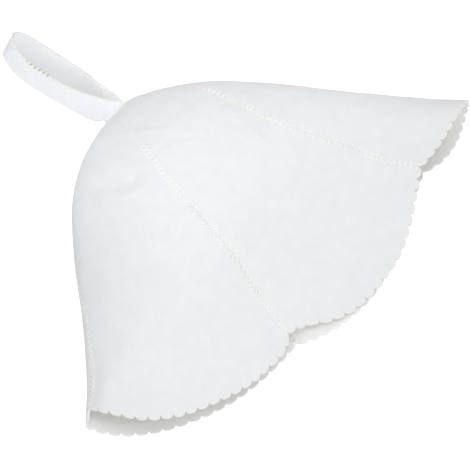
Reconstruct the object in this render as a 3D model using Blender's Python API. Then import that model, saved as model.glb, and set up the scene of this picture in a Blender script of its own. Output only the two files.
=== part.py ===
"""Sauna hat of five felt gores with a hanging loop, lying on its side.

The hat is a bell: five lobed gores are sewn edge to edge from a slot at the
crown down to a scalloped brim. It lies as it was unpacked, pressed nearly
flat. Two gores face up, two lie on the table and one runs round the fold on
the right. The left fold follows a seam.

Metres, +Z up. The mouth faces -Y and the crown points to +Y. The origin is on
the underside of the felt, where the hat rests. Plan positions in the tables
are counted from the middle of the crown slot.
"""

import math
from functools import lru_cache

import bmesh
import bpy
import numpy as np
from mathutils import Vector

# Driving sizes in metres
SEAM_LENGTH = 0.255        # crown slot to brim, along the lying seam
BRIM_WIDTH = 0.405         # left fold to right fold at the brim
CROWN_HEIGHT = 0.074       # highest point of the lying crown
MOUTH_HEIGHT = 0.046       # highest arch of the brim's upper edge
FELT = 0.0024              # thickness of the felt
FOLD_ROOM = 0.0010         # free radius inside the tightest fold
SEAM_GAP = 0.0003          # between two gores
LOBE_REACH = 0.0165        # how far a gore's lobe passes its seam ends
SCALLOP_DEPTH = 0.0032     # one scallop, notch to crest
SCALLOPS = 19              # scallops along one gore
LOOP_REACH = 0.124         # crown slot to the loop's far bend
LOOP_WIDTH = 0.023         # width of the loop's strap
STRAP = 0.0028             # thickness of the strap, two layers of thin felt
TAIL_LENGTH = 0.008        # strap tails inside the hat, behind the slot
TAIL_GAP = 0.0003          # between the two tails
SLOT_CLEARANCE = 0.0004    # between the tails and the gores

# Sizes that follow from them
FOLD_RADIUS = FELT + FOLD_ROOM
SLOT_HALF_HEIGHT = STRAP + TAIL_GAP / 2 + SLOT_CLEARANCE
SLOT_END_SHARE = 0.75      # the slot's round ends, as a share of its half height
SLOT_HALF_WIDTH = LOOP_WIDTH / 2 + SLOT_END_SHARE * SLOT_HALF_HEIGHT
SIDE_SPREAD = BRIM_WIDTH / 2 - SLOT_HALF_WIDTH

# Place of the crown slot from the origin
SLOT_SIDE = -0.010
SLOT_AHEAD = SEAM_LENGTH / 2

# Cross-sections from the slot (along 0) to past the brim. left and right: the
# folds' distance from the middle, as shares of SIDE_SPREAD past the slot's
# end. drop_left, drop_right: how far down the hat the folds lie. bow_top and
# bow_low: how much further the upper and the lower felt bulge between them.
# Drops and bows are shares of SEAM_LENGTH. fold_left, fold_right, crest and
# belly: heights as shares of CROWN_HEIGHT.
SECTION_COLUMNS = ("along", "left", "right", "drop_left", "drop_right", "bow_top", "bow_low",
                   "fold_left", "fold_right", "crest", "belly")
SECTIONS = (
    (0.00, 0.000, 0.000, 0.007, -0.004, 0.002, 0.000, 0.473, 0.473, 0.473, 0.473),
    (0.04, 0.032, 0.032, 0.012, 0.004, 0.014, 0.002, 0.473, 0.473, 0.600, 0.310),
    (0.10, 0.102, 0.107, 0.027, 0.033, 0.031, 0.010, 0.460, 0.473, 0.745, 0.150),
    (0.18, 0.203, 0.207, 0.056, 0.076, 0.063, 0.037, 0.432, 0.473, 0.880, 0.027),
    (0.28, 0.320, 0.322, 0.110, 0.137, 0.102, 0.078, 0.378, 0.473, 0.985, 0.000),
    (0.40, 0.438, 0.442, 0.196, 0.225, 0.133, 0.110, 0.300, 0.460, 1.000, 0.000),
    (0.52, 0.541, 0.560, 0.292, 0.316, 0.161, 0.149, 0.220, 0.432, 0.960, 0.000),
    (0.66, 0.653, 0.693, 0.410, 0.425, 0.188, 0.188, 0.140, 0.392, 0.838, 0.000),
    (0.82, 0.785, 0.850, 0.535, 0.553, 0.231, 0.231, 0.095, 0.340, 0.650, 0.000),
    (1.00, 0.942, 1.052, 0.661, 0.712, 0.259, 0.263, 0.080, 0.255, 0.432, 0.000),
    (1.10, 1.029, 1.152, 0.725, 0.788, 0.278, 0.278, 0.080, 0.230, 0.365, 0.000),
)

# How the felt turns at the folds. upper_left and upper_right, lower_left and
# lower_right: the share of the width that each turn takes. slack: 0 for a
# round turn, 1 for a sheet that leaves the left fold at a slope.
TURN_COLUMNS = ("along", "upper_left", "upper_right", "lower_left", "lower_right", "slack")
TURNS = (
    (0.00, 0.50, 0.50, 0.50, 0.50, 0.0),
    (0.18, 0.50, 0.50, 0.50, 0.50, 0.0),
    (0.28, 0.47, 0.48, 0.42, 0.42, 0.0),
    (0.40, 0.42, 0.44, 0.30, 0.34, 0.0),
    (0.52, 0.37, 0.38, 0.22, 0.27, 0.1),
    (0.66, 0.29, 0.30, 0.14, 0.20, 0.3),
    (0.82, 0.12, 0.18, 0.09, 0.12, 0.4),
    (1.00, 0.035, 0.08, 0.06, 0.07, 0.3),
    (1.10, 0.03, 0.07, 0.05, 0.06, 0.3),
)

# The brim's upper edge, left fold to right fold. height: share of
# MOUTH_HEIGHT. back: how far the raised felt is drawn back, as a share of
# SEAM_LENGTH, or pushed out below 0.
MOUTH_COLUMNS = ("across", "height", "back")
MOUTH = (
    (0.000, 0.21, 0.000),
    (0.010, 0.37, 0.022),
    (0.025, 0.48, 0.032),
    (0.040, 0.57, 0.034),
    (0.060, 0.61, 0.031),
    (0.085, 0.65, 0.019),
    (0.120, 0.65, 0.010),
    (0.170, 0.57, 0.008),
    (0.220, 0.50, 0.011),
    (0.290, 0.36, 0.010),
    (0.345, 0.33, 0.010),
    (0.375, 0.42, 0.005),
    (0.395, 0.56, 0.013),
    (0.420, 0.60, 0.035),
    (0.450, 0.50, 0.040),
    (0.490, 0.34, 0.031),
    (0.540, 0.24, 0.019),
    (0.610, 0.18, 0.010),
    (0.700, 0.16, -0.003),
    (0.780, 0.24, 0.001),
    (0.860, 0.55, 0.012),
    (0.920, 0.94, 0.013),
    (0.960, 1.00, 0.009),
    (1.000, 0.96, 0.000),
)
MOUTH_FROM = 0.55          # share along where the upper felt starts to follow it
MOUTH_FULL = 1.05          # share along where it follows it fully

# Soft folds in the upper felt, as lines in plan. side: share of BRIM_WIDTH.
# drop and width: shares of SEAM_LENGTH. lift: share of CROWN_HEIGHT, below 0
# for a hollow.
CREASE_COLUMNS = ("from_side", "from_drop", "to_side", "to_drop", "width", "lift")
CREASES = (
    (-0.207, 0.165, -0.109, 0.243, 0.028, 0.026),
    (-0.180, 0.115, -0.105, 0.185, 0.034, -0.030),
    (0.148, 0.290, 0.143, 0.537, 0.026, 0.016),
    (0.143, 0.537, 0.222, 0.970, 0.026, 0.016),
)

# Where the seams run, as shares of the way round from the left fold over the
# top. They wander a little because the hat lies askew.
SEAM_COLUMNS = ("along", "seam_1", "seam_2", "seam_3", "seam_4", "seam_5")
SEAMS = (
    (0.00, 0.004, 0.215, 0.475, 0.640, 0.826),
    (0.20, -0.008, 0.226, 0.452, 0.616, 0.815),
    (0.40, -0.010, 0.231, 0.428, 0.603, 0.807),
    (0.60, 0.007, 0.227, 0.411, 0.597, 0.801),
    (0.80, 0.012, 0.221, 0.420, 0.593, 0.797),
    (1.00, 0.0115, 0.214, 0.422, 0.592, 0.796),
)

# The five gores, from the left fold over the top and back underneath, each
# between two seams. reach: share of LOBE_REACH.
# lean: how far the lobe is pulled to its start, or to its end below 0.
# fullness: 2 for a parabola, more for a squarer lobe.
GORE_COLUMNS = ("name", "first_seam", "last_seam", "reach", "lean", "fullness")
GORES = (
    ("gore_1", "seam_1", "seam_2", 1.00, 0.25, 2.8),
    ("gore_2", "seam_2", "seam_3", 1.25, 0.75, 2.0),
    ("gore_3", "seam_3", "seam_4", 1.00, -0.35, 4.0),
    ("gore_4", "seam_4", "seam_5", 1.00, -1.00, 1.8),
    ("gore_5", "seam_5", "seam_1", 1.00, -0.50, 2.6),
)
BOW_FULLNESS = (2.5, 2.1)  # the same for the whole brim's bulge, on the left and on the right
BOW_LEAN = 0.13            # the brim bulges more on the left

# The loop's strap, out on the upper side and back on the lower. ahead and
# side: its middle line, as shares of LOOP_REACH. lift: its lower edge, as a
# share of the slot's height. tilt: degrees of its width from the table. tier:
# above (1) or below (-1) the other tail.
STRAP_COLUMNS = ("ahead", "side", "lift", "tilt", "tier")
STRAP_PATH = (
    (0.015, 0.000, 1.00, 0.0, 1.0),
    (0.115, -0.058, 0.66, 34.0, 0.6),
    (0.240, -0.087, 0.36, 51.0, 0.0),
    (0.355, -0.114, 0.20, 59.0, 0.0),
    (0.470, -0.138, 0.10, 63.0, 0.0),
    (0.605, -0.165, 0.04, 63.0, 0.0),
    (0.730, -0.187, 0.03, 62.0, 0.0),
    (0.850, -0.188, 0.09, 60.0, 0.0),
    (0.935, -0.166, 0.15, 55.0, 0.0),
    (0.986, -0.118, 0.08, 50.0, 0.0),
    (0.930, -0.077, 0.02, 50.0, 0.0),
    (0.780, -0.036, 0.00, 52.0, 0.0),
    (0.605, -0.002, 0.00, 53.0, 0.0),
    (0.420, 0.028, 0.06, 54.0, 0.0),
    (0.250, 0.020, 0.31, 51.0, 0.0),
    (0.120, 0.008, 0.68, 27.0, -0.6),
    (0.015, 0.000, 1.00, 0.0, -1.0),
)
STRAP_REST_GAP = 0.0004    # between the lying strap and the table

# Mesh fineness
ACROSS_POINTS = 220        # points on each half of a cross-section
RING_STEP = 0.004          # share along from one computed cross-section to the next
ROWS = 20                  # rows of faces down a gore
ROW_CROWDING = 1.25        # rows lie closer together at the crown
ARC_POINTS = 4             # straight pieces in one scallop
FOLD_SEAM = "seam_1"       # the seam beside the left fold
FOLD_CUTS = ((0.33, 0.66), (0.33, 0.66, 1.33, 1.66))  # extra columns after and before it, in scallops
STATIONS_PER_STEP = 2      # strap sections for each row of its path
NORMAL_STEP = 0.002        # how far apart the felt is sampled for its normal
SLOT_TURN = 0.05           # share along over which the wall turns to face the slot

FELT_COLOUR = (0.86, 0.87, 0.88, 1.0)
STRAP_COLOUR = (0.87, 0.87, 0.86, 1.0)


def table(columns, rows):
    """A table's columns as arrays, by name."""
    return {name: np.array(values, dtype=float) for name, values in zip(columns, zip(*rows))}


SECTION = table(SECTION_COLUMNS, SECTIONS)
TURN = table(TURN_COLUMNS, TURNS)
MOUTH_LINE = table(MOUTH_COLUMNS, MOUTH)
SEAM_LINE = table(SEAM_COLUMNS, SEAMS)
STRAP_LINE = table(STRAP_COLUMNS, STRAP_PATH)
SLOT_HEIGHT = SECTION["crest"][0] * CROWN_HEIGHT


def curve(xs, ys, x):
    """A smooth curve through a table's points, read at x."""
    x = np.clip(x, xs[0], xs[-1])
    steps = np.diff(xs)
    slopes = np.diff(ys) / steps
    tangents = np.empty_like(ys)
    tangents[0] = slopes[0]
    tangents[-1] = slopes[-1]
    tangents[1:-1] = (slopes[:-1] * steps[1:] + slopes[1:] * steps[:-1]) / (steps[1:] + steps[:-1])
    i = np.clip(np.searchsorted(xs, x, side="right") - 1, 0, len(xs) - 2)
    t = (x - xs[i]) / steps[i]
    start = (1 + 2 * t) * (1 - t) ** 2 * ys[i] + t * (1 - t) ** 2 * steps[i] * tangents[i]
    end = t * t * (3 - 2 * t) * ys[i + 1] - t * t * (1 - t) * steps[i] * tangents[i + 1]
    return start + end


def quarter(share):
    """Rise of a quarter circle, 0 to 1."""
    share = np.clip(share, 0, 1)
    return np.sqrt(1 - (1 - share) ** 2)


def ease(share):
    """A smooth step from 0 to 1."""
    share = np.clip(share, 0, 1)
    return share * share * (3 - 2 * share)


# Places across the width, closer together at the folds
ACROSS = (1 - np.cos(np.linspace(0, math.pi, ACROSS_POINTS))) / 2
MOUTH_RISE = curve(MOUTH_LINE["across"], MOUTH_LINE["height"], ACROSS) * MOUTH_HEIGHT
MOUTH_BACK = curve(MOUTH_LINE["across"], MOUTH_LINE["back"], ACROSS) * SEAM_LENGTH


def crease_lift(x, y):
    """Height that the soft folds add at plan places counted from the slot."""
    lift = np.zeros_like(x)
    for from_side, from_drop, to_side, to_drop, width, height in CREASES:
        start = np.array((from_side * BRIM_WIDTH, -from_drop * SEAM_LENGTH))
        end = np.array((to_side * BRIM_WIDTH, -to_drop * SEAM_LENGTH))
        run = end - start
        share = np.clip(((x - start[0]) * run[0] + (y - start[1]) * run[1]) / run.dot(run), 0, 1)
        distance = np.hypot(x - start[0] - share * run[0], y - start[1] - share * run[1])
        lift += height * CROWN_HEIGHT * np.exp(-((distance / (width * SEAM_LENGTH)) ** 2))
    return lift


def half_section(along, upper):
    """The upper or lower felt's outer face across the hat, left fold to right fold."""
    row = {name: float(curve(SECTION["along"], SECTION[name], along)) for name in SECTION_COLUMNS[1:]}
    turn = {name: float(curve(TURN["along"], TURN[name], along)) for name in TURN_COLUMNS[1:]}
    left = SLOT_HALF_WIDTH + row["left"] * SIDE_SPREAD
    right = SLOT_HALF_WIDTH + row["right"] * SIDE_SPREAD
    width = left + right
    x = ACROSS * width - left
    fullness = np.where(ACROSS < 0.5, *BOW_FULLNESS)
    bulge = (1 - np.abs(2 * ACROSS - 1) ** fullness) * (1 + BOW_LEAN * (1 - 2 * ACROSS))
    bow = row["bow_top"] if upper else row["bow_low"]
    drop = row["drop_left"] + ACROSS * (row["drop_right"] - row["drop_left"]) + bow * bulge
    y = -drop * SEAM_LENGTH

    belly = max(0.0, row["belly"]) * CROWN_HEIGHT
    slot_share = max(0.0, 1 - along / 0.1) ** 2
    fold = (row["fold_left"] + (row["fold_right"] - row["fold_left"]) * ACROSS) * CROWN_HEIGHT
    if upper:
        follow = float(ease((along - MOUTH_FROM) / (MOUTH_FULL - MOUTH_FROM)))
        crest = row["crest"] * CROWN_HEIGHT * (1 - follow) + MOUTH_RISE * follow
        height = crest - fold + SLOT_HALF_HEIGHT * slot_share
        y = y + MOUTH_BACK * follow
        turn_left, turn_right = turn["upper_left"], turn["upper_right"]
    else:
        height = fold - belly + SLOT_HALF_HEIGHT * slot_share
        turn_left, turn_right = turn["lower_left"], turn["lower_right"]
    lip = np.minimum(FOLD_RADIUS, height)
    left_lip = quarter(ACROSS * width / lip)
    right_lip = quarter((1 - ACROSS) * width / lip)
    left_turn = quarter(ACROSS / turn_left) ** (1 + turn["slack"])
    right_turn = quarter((1 - ACROSS) / turn_right)
    reach = lip * left_lip * right_lip + (height - lip) * left_turn * right_turn
    if upper:
        z = fold + reach + crease_lift(x, y) * left_turn * right_turn
    else:
        z = fold - reach
    return np.stack([x, y, z], axis=-1)


@lru_cache(maxsize=None)
def ring(step):
    """The outer face once round the hat at a step down it: points, their shares, length."""
    along = step * RING_STEP
    points = np.concatenate([half_section(along, True), half_section(along, False)[::-1][1:]])
    lengths = np.linalg.norm(np.diff(points, axis=0), axis=1)
    way = np.concatenate([[0.0], np.cumsum(lengths)])
    return points, way / way[-1], way[-1]


def ring_point(step, around):
    points, shares, _ = ring(step)
    return np.array([np.interp(around % 1.0, shares, points[:, axis]) for axis in range(3)])


def outer_point(along, around):
    """A point of the outer face. around: 0 to 1 from the left fold over the top."""
    step = int(along / RING_STEP)
    share = along / RING_STEP - step
    return ring_point(step, around) * (1 - share) + ring_point(step + 1, around) * share


def girth(along):
    return ring(int(round(along / RING_STEP)))[2]


def seam_place(along, seam):
    """The share of the way round at which a seam lies."""
    return float(curve(SEAM_LINE["along"], SEAM_LINE[seam], along))


def wall_direction(along, around):
    """Unit vector out of the felt. At the slot it points straight out of the slot."""
    step = NORMAL_STEP / SEAM_LENGTH
    round_step = NORMAL_STEP / girth(along)
    down = outer_point(along + step, around) - outer_point(max(0.0, along - step), around)
    over = outer_point(along, around + round_step) - outer_point(along, around - round_step)
    out = np.cross(down, over)
    out /= np.linalg.norm(out)
    share = float(ease(along / SLOT_TURN))
    out = out * share + np.array((0.0, 1.0, 0.0)) * (1 - share)
    return out / np.linalg.norm(out)


def brim_line(t, reach, lean, fullness):
    """Share along of a gore's lobed edge at t, 0 to 1 across the gore."""
    lobe = (1 - abs(2 * t - 1) ** fullness) * (1 + lean * (1 - 2 * t))
    return 1 + lobe * reach * LOBE_REACH / SEAM_LENGTH


def scallop(t):
    """Share along that the scallops add at t."""
    phase = (t * SCALLOPS) % 1.0
    return SCALLOP_DEPTH / SEAM_LENGTH * math.sqrt(max(0.0, 4 * phase * (1 - phase)))


def place(point):
    """A point counted from the slot, moved to the hat's own frame."""
    return Vector((point[0] + SLOT_SIDE, point[1] + SLOT_AHEAD, point[2]))


def felt_place(t, q, first_seam, last_seam, lobe):
    """Share along and share around of a pattern place: t across the gore, q down it."""
    along = q ** ROW_CROWDING * brim_line(t, *lobe)
    if q > 1 - 1e-6:
        along += scallop(t)
    gap = SEAM_GAP / 2 / girth(along)
    first = seam_place(along, first_seam) + gap
    last = seam_place(along, last_seam) - gap
    if last < first:
        last += 1
    return along, first + t * (last - first)


def gore_mesh(first_seam, last_seam, lobe):
    """One gore: a flat pattern grid bent to the hat and given the felt's thickness."""
    bm = bmesh.new()
    bmesh.ops.create_grid(bm, x_segments=SCALLOPS, y_segments=ROWS, size=0.5)
    bmesh.ops.translate(bm, verts=bm.verts, vec=(0.5, 0.5, 0.0))
    cuts = [cut / SCALLOPS for cut in FOLD_CUTS[0]] if first_seam == FOLD_SEAM else []
    cuts += [1 - cut / SCALLOPS for cut in FOLD_CUTS[1]] if last_seam == FOLD_SEAM else []
    for cut in cuts:
        everything = bm.verts[:] + bm.edges[:] + bm.faces[:]
        bmesh.ops.bisect_plane(bm, geom=everything, plane_co=(cut, 0, 0), plane_no=(1, 0, 0))
    brim = [edge for edge in bm.edges if all(vert.co.y > 1 - 1e-6 for vert in edge.verts)]
    bmesh.ops.subdivide_edges(bm, edges=brim, cuts=ARC_POINTS - 1, use_single_edge=True)

    outer_edges = [edge for edge in bm.edges if edge.is_boundary]
    copy = bmesh.ops.duplicate(bm, geom=bm.verts[:] + bm.edges[:] + bm.faces[:])["geom"]
    inner_edges = [item for item in copy if isinstance(item, bmesh.types.BMEdge) and item.is_boundary]
    inner_verts = {item for item in copy if isinstance(item, bmesh.types.BMVert)}

    places = {}
    for vert in bm.verts:
        key = (round(vert.co.x, 6), round(vert.co.y, 6))
        if key not in places:
            along, around = felt_place(key[0], key[1], first_seam, last_seam, lobe)
            places[key] = (outer_point(along, around), wall_direction(along, around))
        point, out = places[key]
        vert.co = place(point - out * FELT) if vert in inner_verts else place(point)

    bmesh.ops.bridge_loops(bm, edges=outer_edges + inner_edges)
    bmesh.ops.recalc_face_normals(bm, faces=bm.faces[:])
    if bm.calc_volume(signed=True) < 0:
        bmesh.ops.reverse_faces(bm, faces=bm.faces[:])
    return bm


def strap_profile():
    """The strap's section as (across, through): one edge folded round, one cut."""
    half = LOOP_WIDTH / 2
    thick = STRAP / 2
    turns = [math.radians(angle) for angle in (90, 135, 180, 225, 270)]
    fold = [(-half + thick + thick * math.cos(a), thick * math.sin(a)) for a in turns]
    return [(half, thick)] + fold + [(half, -thick)]


def strap_stations():
    """Middle, width direction and thickness direction of the strap, tail to tail."""
    rows = len(STRAP_PATH)
    steps = np.linspace(0, rows - 1, (rows - 1) * STATIONS_PER_STEP + 1)
    index = np.arange(rows, dtype=float)
    read = {name: curve(index, STRAP_LINE[name], steps) for name in STRAP_COLUMNS}
    tilt = np.radians(read["tilt"])
    lift = np.clip(read["lift"], 0, 1)
    lying = STRAP / 2 * np.cos(tilt) + LOOP_WIDTH / 2 * np.sin(tilt) + STRAP_REST_GAP
    slot_rise = SLOT_HEIGHT - STRAP / 2 - STRAP_REST_GAP
    tier = read["tier"] * (STRAP + TAIL_GAP) / 2
    middle = np.stack([read["side"] * LOOP_REACH, read["ahead"] * LOOP_REACH,
                       lying + lift * slot_rise + tier], axis=-1)
    width = np.stack([np.cos(tilt), np.zeros_like(tilt), np.sin(tilt)], axis=-1)
    run = np.gradient(middle, axis=0)
    run[0] = (0, 1, 0)
    run[-1] = (0, -1, 0)
    through = np.cross(run, width)
    through /= np.linalg.norm(through, axis=1)[:, None]
    tail = np.array((0.0, TAIL_LENGTH + FELT, 0.0))
    middle = np.concatenate([[middle[0] - tail], middle, [middle[-1] - tail]])
    width = np.concatenate([width[:1], width, width[-1:]])
    through = np.concatenate([through[:1], through, through[-1:]])
    return middle, width, through


def loop_mesh():
    """The hanging loop: the strap's section carried along its path, with closed ends."""
    bm = bmesh.new()
    profile = strap_profile()
    rings = []
    for middle, width, through in zip(*strap_stations()):
        verts = [bm.verts.new(place(middle + across * width + depth * through)) for across, depth in profile]
        rings.append([bm.edges.new((verts[i - 1], verts[i])) for i in range(len(verts))])
    for first, second in zip(rings, rings[1:]):
        bmesh.ops.bridge_loops(bm, edges=first + second)
    bmesh.ops.holes_fill(bm, edges=rings[0] + rings[-1], sides=len(profile))
    bmesh.ops.recalc_face_normals(bm, faces=bm.faces[:])
    return bm


def felt_material(name, colour):
    material = bpy.data.materials.new(name)
    material.use_nodes = True
    shader = material.node_tree.nodes["Principled BSDF"]
    shader.inputs["Base Color"].default_value = colour
    shader.inputs["Roughness"].default_value = 0.95
    shader.inputs["Metallic"].default_value = 0.0
    return material


def add_object(name, bm, colour):
    mesh = bpy.data.meshes.new(name)
    bm.to_mesh(mesh)
    bm.free()
    mesh.materials.append(felt_material(name, colour))
    mesh.shade_smooth()
    mesh.set_sharp_from_angle(angle=math.radians(40))
    piece = bpy.data.objects.new(name, mesh)
    bpy.context.scene.collection.objects.link(piece)
    return piece


def main():
    for old in list(bpy.data.objects):
        bpy.data.objects.remove(old)
    for name, first_seam, last_seam, *lobe in GORES:
        add_object(name, gore_mesh(first_seam, last_seam, lobe), FELT_COLOUR)
    add_object("hanging_loop", loop_mesh(), STRAP_COLOUR)


main()
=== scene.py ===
# %% [markdown]
# # A sauna hat of white wool felt
#
# A sauna hat keeps the head cool while the rest of the body warms up. This one
# is a bell of five felt gores, sewn edge to edge with a wide lattice stitch. Its
# brim is cut in scallops, and a strap of folded felt hangs it on a hook. It lies
# on its side as it was unpacked, pressed nearly flat.
#
# The frame is loaded first. It holds the plain solids that the simulation uses,
# in metres, with Z up, the mouth towards -Y and the crown towards +Y. Each piece
# made here takes the place of one of them.

# %% Load the frame
import math

import bmesh
import bpy
import numpy as np
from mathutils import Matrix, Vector, noise


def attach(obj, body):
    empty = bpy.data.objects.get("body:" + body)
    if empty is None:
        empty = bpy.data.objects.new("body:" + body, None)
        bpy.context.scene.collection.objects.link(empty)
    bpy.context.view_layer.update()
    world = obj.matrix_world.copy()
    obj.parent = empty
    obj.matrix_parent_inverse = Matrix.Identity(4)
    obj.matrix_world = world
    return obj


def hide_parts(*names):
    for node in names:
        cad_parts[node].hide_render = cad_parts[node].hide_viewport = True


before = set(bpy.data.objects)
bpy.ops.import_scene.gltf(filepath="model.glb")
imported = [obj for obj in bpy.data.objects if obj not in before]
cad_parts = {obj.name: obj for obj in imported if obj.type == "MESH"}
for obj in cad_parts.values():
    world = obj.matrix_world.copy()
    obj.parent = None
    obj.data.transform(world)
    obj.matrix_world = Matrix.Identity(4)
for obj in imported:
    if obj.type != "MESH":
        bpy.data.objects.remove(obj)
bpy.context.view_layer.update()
print("solids:", sorted(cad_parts))

# %% [markdown]
# ## Helpers for colours, nodes and objects
#
# Colours are written as sRGB hex values, as a paint program shows them. Blender
# calculates with linear light, so one function converts them. A second small
# function adds a shader node with its settings and its links, and puts ShaderNode
# before the kind, as all their names start with it. A Mix node for colours takes its
# factor at socket 0 and its colours at 6 and 7, and gives its result at output 2.
# Two more functions turn a finished bmesh into a mesh and an object.


# %% Helpers
def colour(hex_text):
    """A hex colour as linear red, green, blue and alpha."""
    parts = [int(hex_text[i:i + 2], 16) / 255 for i in (1, 3, 5)]
    linear = [part / 12.92 if part <= 0.04045 else ((part + 0.055) / 1.055) ** 2.4
              for part in parts]
    return (*linear, 1.0)


def add_node(tree, kind, values=None, links=None, **settings):
    """A new shader node of a kind, with its settings, its sockets' values and its links."""
    node = tree.nodes.new("ShaderNode" + kind)
    for name, value in settings.items():
        setattr(node, name, value)
    for name, value in (values or {}).items():
        node.inputs[name].default_value = value
    for name, source in (links or {}).items():
        tree.links.new(source, node.inputs[name])
    return node


def new_material(name, values):
    """A material, its node tree and its Principled shader, whose sockets get these values."""
    material = bpy.data.materials.new(name)
    material.use_nodes = True
    shader = material.node_tree.nodes["Principled BSDF"]
    for socket, value in values.items():
        shader.inputs[socket].default_value = value
    return material, material.node_tree, shader


def mesh_from(bm, name):
    """A mesh of a finished bmesh."""
    mesh = bpy.data.meshes.new(name)
    bm.to_mesh(mesh)
    bm.free()
    return mesh


def new_object(name, mesh, material):
    """A smooth object of a mesh, with its material."""
    mesh.materials.append(material)
    mesh.shade_smooth()
    made = bpy.data.objects.new(name, mesh)
    bpy.context.scene.collection.objects.link(made)
    return made


print("#808080 as linear light:", round(colour("#808080")[0], 3))


# %% [markdown]
# ## Camera
#
# The picture was taken from above, 70 degrees from the table, and from the left
# of the mouth. The camera stands 1.5 m from the hat. Its lens is chosen so that
# one pixel of a 470 pixel picture covers 0.83 mm at the hat. The place that it
# looks at is measured from the slot in the crown, where the strap comes out.

# %% Directions
def towards(azimuth, elevation):
    """Unit vector from the hat to a place at these angles, in degrees."""
    a, e = math.radians(azimuth), math.radians(elevation)
    return Vector((math.sin(a) * math.cos(e), -math.cos(a) * math.cos(e), math.sin(e)))


# %% Camera
SLOT_SIDE = -0.010      # the slot's place to the side of the frame's origin
SLOT_AHEAD = 0.1275     # and towards the crown
VIEW_MIDDLE = (-0.0003, -0.1443, 0.020)     # the place looked at, counted from the slot
PIXELS = 470
PIXEL_SIZE = 0.00083    # metres at the hat that one pixel covers
CAMERA_DISTANCE = 1.5
CAMERA_AZIMUTH = -44.1
CAMERA_ELEVATION = 70

look_at = Vector((SLOT_SIDE + VIEW_MIDDLE[0], SLOT_AHEAD + VIEW_MIDDLE[1], VIEW_MIDDLE[2]))
towards_camera = towards(CAMERA_AZIMUTH, CAMERA_ELEVATION)
camera = bpy.data.objects.new("camera", bpy.data.cameras.new("camera"))
bpy.context.scene.collection.objects.link(camera)
camera.location = look_at + towards_camera * CAMERA_DISTANCE
camera.rotation_euler = towards_camera.to_track_quat("Z", "Y").to_euler()
camera.data.lens = camera.data.sensor_width * CAMERA_DISTANCE / (PIXELS * PIXEL_SIZE)
bpy.context.scene.camera = camera
print("lens in mm:", round(camera.data.lens, 1))

# %% [markdown]
# ## The shape of the lying hat
#
# The hat's outer face is one smooth surface. Two numbers name a place on it:
# along, 0 at the crown slot and 1 at the brim's seam ends, and around, from 0 at
# the left fold over the top to 1 back at that fold. Tables say how wide, how far
# down the hat and how high its cross-sections are. A smooth curve through each
# column fills in what lies between the rows. Wrinkles and folds are short lines in
# plan, each with a width and a height, and the felt rises or sinks along them. The
# upper felt comes down towards the table in the middle of the mouth, and the lower
# felt bulges up a little to meet it.

# %% Sizes of the hat in metres
SEAM_LENGTH = 0.255     # crown slot to brim, along the lying seam
BRIM_WIDTH = 0.405      # left fold to right fold at the brim
CROWN_HEIGHT = 0.074    # highest point of the lying crown
MOUTH_HEIGHT = 0.046    # highest arch of the brim's upper edge
FELT = 0.0024           # thickness of the felt
FOLD_ROOM = 0.0010      # free radius inside the tightest fold
SEAM_GAP = 0.00001      # between the cut edges of two gores
LOBE_REACH = 0.0165     # how far a gore's lobe passes its seam ends
SCALLOP_DEPTH = 0.0032  # one scallop, notch to crest
SCALLOPS = 19           # scallops along one gore
LOOP_REACH = 0.124      # crown slot to the loop's far bend
LOOP_WIDTH = 0.023      # width of the loop's strap
STRAP = 0.0028          # thickness of the strap, two layers of thin felt
TAIL_LENGTH = 0.008     # strap tails inside the hat, behind the slot
TAIL_GAP = 0.0003       # between the two tails
SLOT_CLEARANCE = 0.0004  # between the tails and the gores
FOLD_RADIUS = FELT + FOLD_ROOM
SLOT_HALF_HEIGHT = STRAP + TAIL_GAP / 2 + SLOT_CLEARANCE
SLOT_HALF_WIDTH = LOOP_WIDTH / 2 + 0.75 * SLOT_HALF_HEIGHT
SIDE_SPREAD = BRIM_WIDTH / 2 - SLOT_HALF_WIDTH
print("slot in mm:", [round(2000 * value, 1) for value in (SLOT_HALF_WIDTH, SLOT_HALF_HEIGHT)])

# %% [markdown]
# ## Tables of the shape
#
# Each table holds shares of the sizes above, so the hat keeps its form when a size
# changes. A row of SECTIONS is one cross-section: how far it reaches left and right
# of the slot, how far down the hat its two ends lie, how far its middle bows past
# them, and how high the two folds, the upper felt's crest and the lower felt's
# belly are. TURNS says what share of the width each side takes to rise from the
# fold. MOUTH is the line of the brim's upper edge, from left to right, with its
# height and how far it is drawn back to the crown. SEAMS says where each seam runs,
# as shares of the way round, and GORES gives each gore's two seams, the reach and
# lean of its lobe, and how square the lobe is.

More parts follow.
